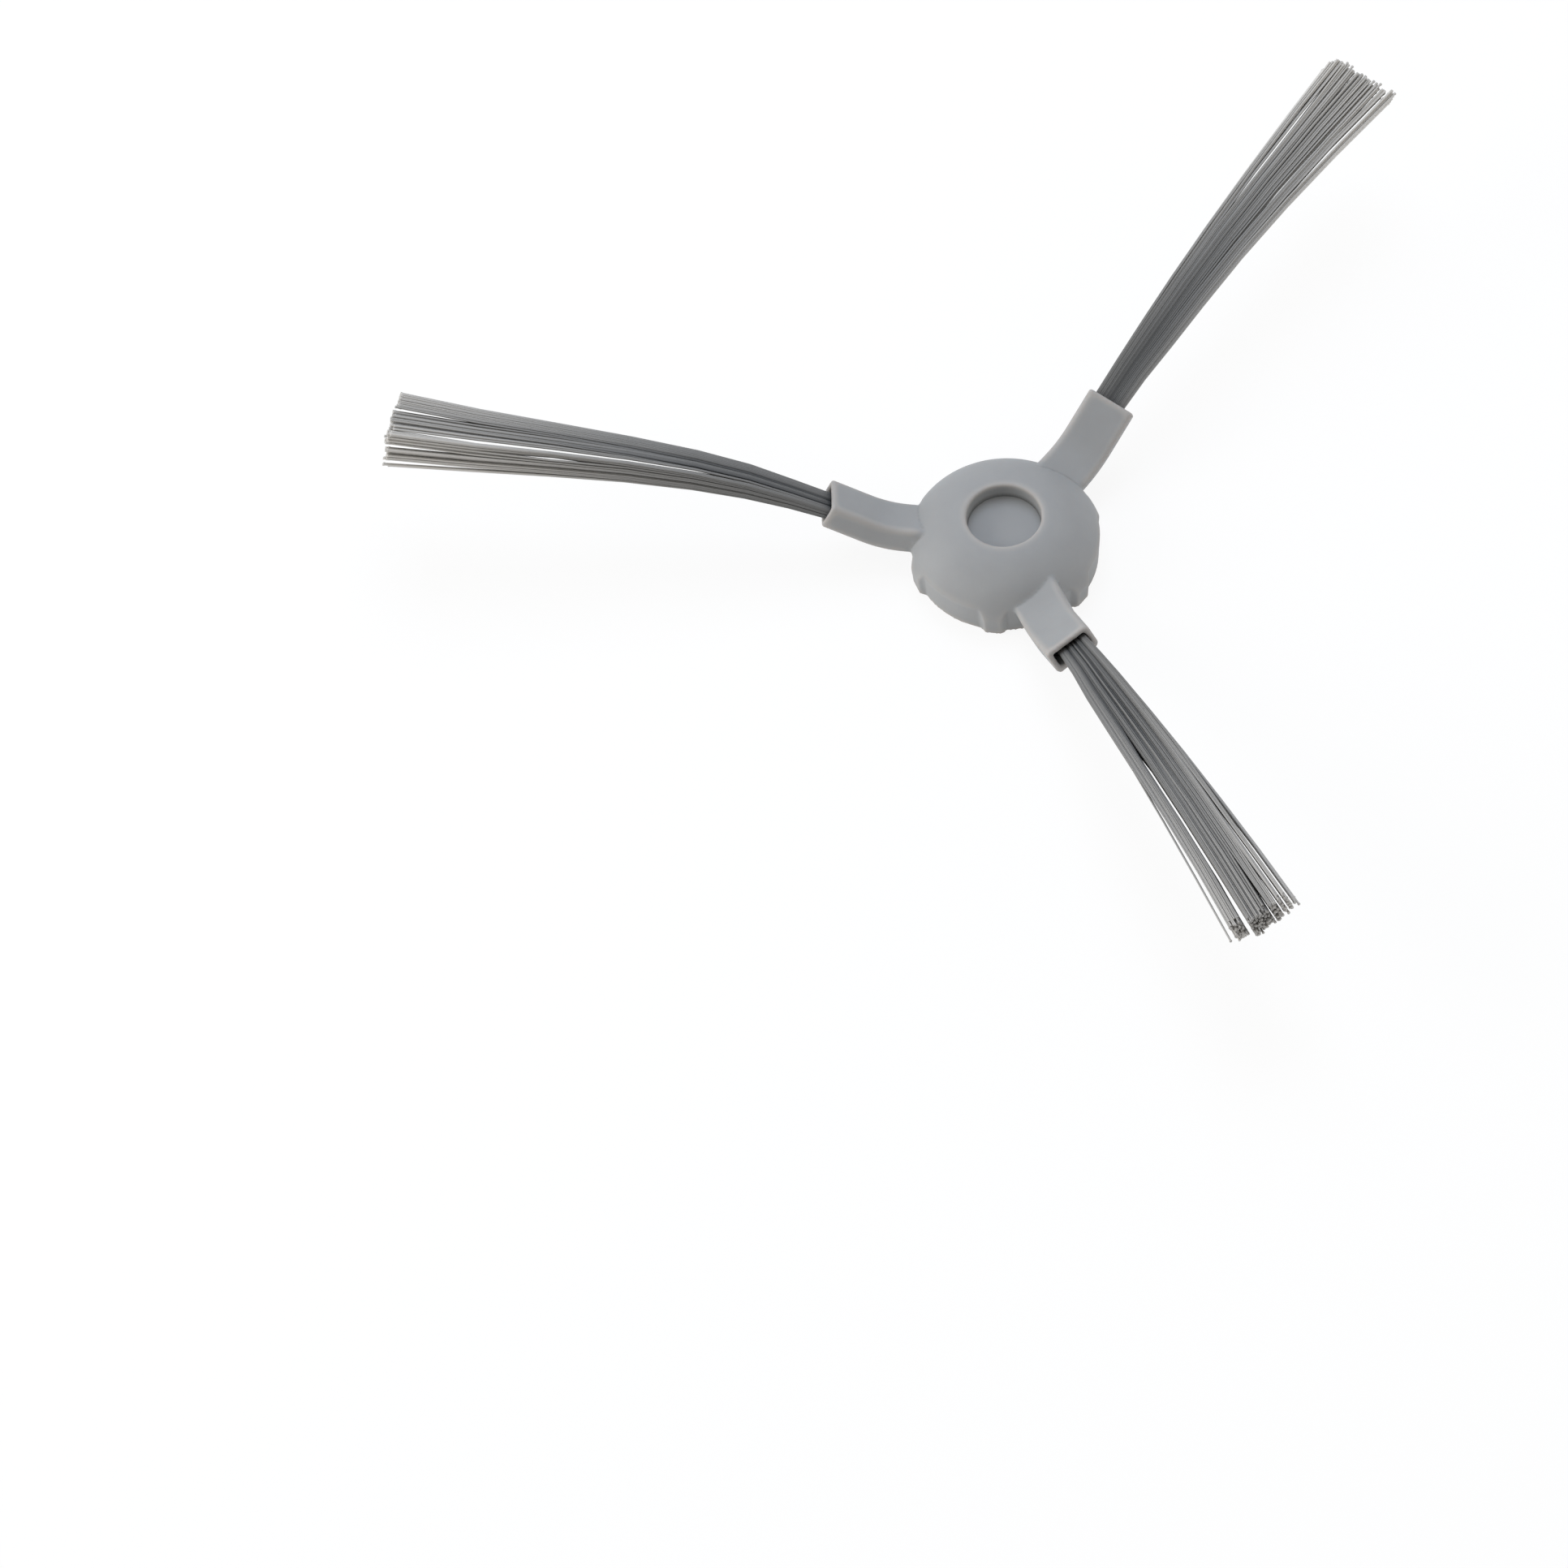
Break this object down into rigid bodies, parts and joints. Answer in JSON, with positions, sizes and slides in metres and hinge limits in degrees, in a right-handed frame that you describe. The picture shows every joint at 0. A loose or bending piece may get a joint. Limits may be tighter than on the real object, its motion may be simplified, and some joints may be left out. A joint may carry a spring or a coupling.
{
  "type": "robot vacuum side brush",
  "caption": "Side brush for a robot vacuum: a domed rubber hub with a square drive socket underneath and raised arms that each hold a fanned tuft of bristles.",
  "frame": {"origin": "on the hub's axis, in the plane of its rim, at the mouth of the drive socket", "axes": "+Z along the hub's axis, out of the dome; +X along the first arm"},
  "size_m": [0.1311, 0.1504, 0.0239],
  "materials": {
    "grey_rubber": "matte, soft thermoplastic rubber",
    "grey_bristle": "satin nylon filament"
  },
  "bodies": {
    "root": {"hub_and_arms": "grey_rubber", "bristle_tuft_1": "grey_bristle", "bristle_tuft_2": "grey_bristle", "bristle_tuft_3": "grey_bristle"}
  },
  "joints": []
}
